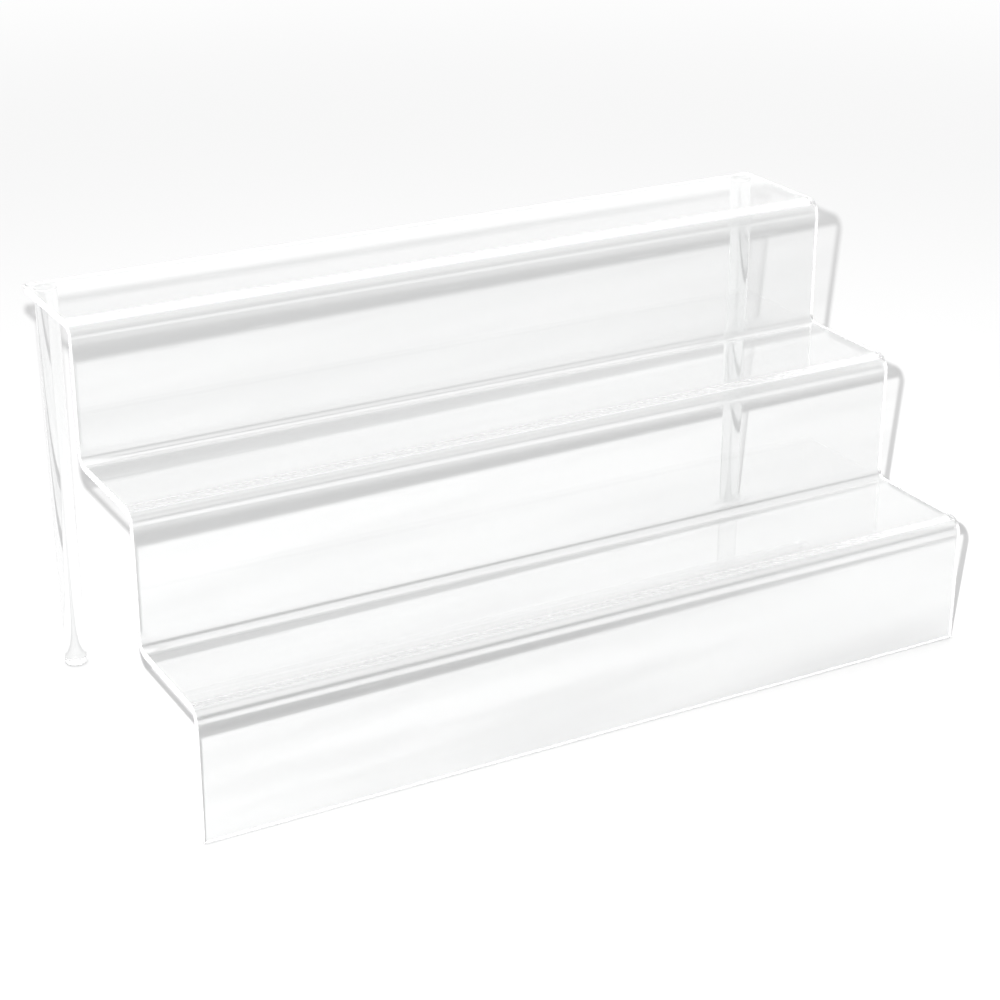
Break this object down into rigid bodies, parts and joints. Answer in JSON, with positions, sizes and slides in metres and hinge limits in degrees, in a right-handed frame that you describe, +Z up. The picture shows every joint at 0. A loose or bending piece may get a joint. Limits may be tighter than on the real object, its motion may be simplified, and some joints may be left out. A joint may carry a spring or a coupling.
{
  "type": "tiered shelf riser",
  "caption": "Clear acrylic stair of treads bent from one sheet, standing on its front riser and round rear legs, that lifts jars and bottles in rising rows.",
  "frame": {"origin": "on the table, in the middle of the length and of the depth", "axes": "+Z up, +X along the length towards the right end seen from the front, -Y towards the front"},
  "size_m": [0.305, 0.147, 0.147],
  "materials": {
    "clear_sheet": "clear cast acrylic sheet, flame-polished edges",
    "clear_rod": "clear extruded acrylic rod, smooth"
  },
  "bodies": {
    "root": {"stepped_shelf": "clear_sheet", "rear_leg_left": "clear_rod", "rear_leg_right": "clear_rod"}
  },
  "joints": []
}
